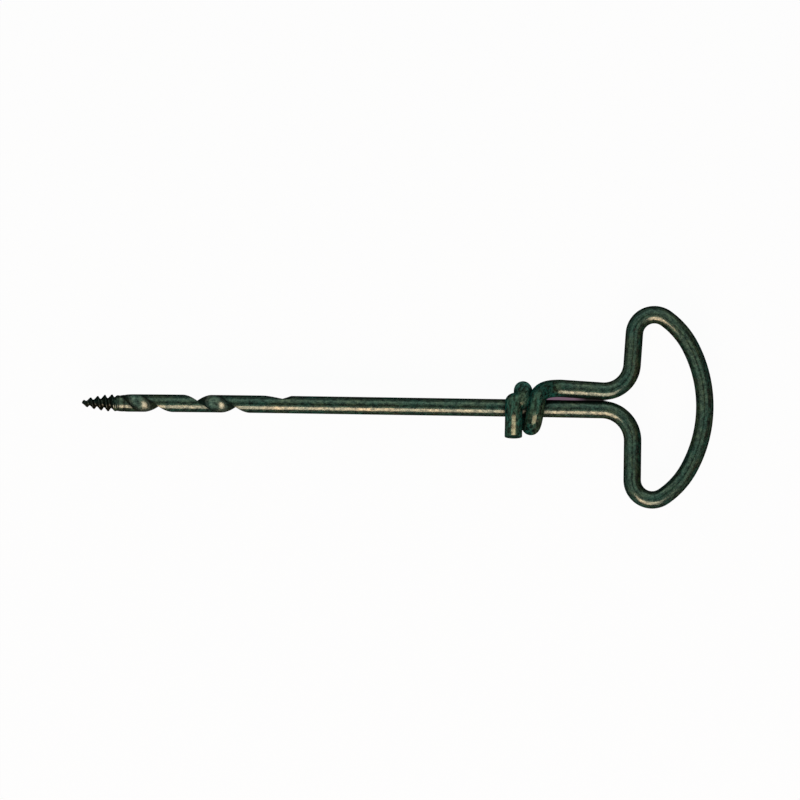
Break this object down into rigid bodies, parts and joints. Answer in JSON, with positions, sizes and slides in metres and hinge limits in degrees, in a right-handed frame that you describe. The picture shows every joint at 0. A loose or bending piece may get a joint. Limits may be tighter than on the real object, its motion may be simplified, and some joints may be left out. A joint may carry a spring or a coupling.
{
  "type": "gimlet",
  "caption": "Wire gimlet: a threaded point and a twist-fluted bit on a round shank, bent round into a looped palm handle whose end is wrapped about the neck.",
  "frame": {"origin": "tip of the lead screw, on the axis of the shank", "axes": "+X from the point along the shank to the handle, +Y towards the wrapped side of the handle, +Z square to the plane of the handle"},
  "size_m": [0.18, 0.0578, 0.0154],
  "materials": {
    "wire": "glossy dark green-black oxide on drawn steel wire",
    "bit": "glossy dark green-black oxide over the ground flute and cut thread"
  },
  "bodies": {
    "root": {"lead_screw": "bit", "twist_bit": "bit", "shank": "wire", "neck": "wire", "lower_leg": "wire", "lower_shoulder": "wire", "lower_arm": "wire", "lower_lobe": "wire", "lower_flank": "wire", "palm_bow": "wire", "upper_flank": "wire", "upper_lobe": "wire", "upper_arm": "wire", "upper_shoulder": "wire", "upper_leg": "wire", "binding_coil": "wire", "tail": "wire"}
  },
  "joints": []
}
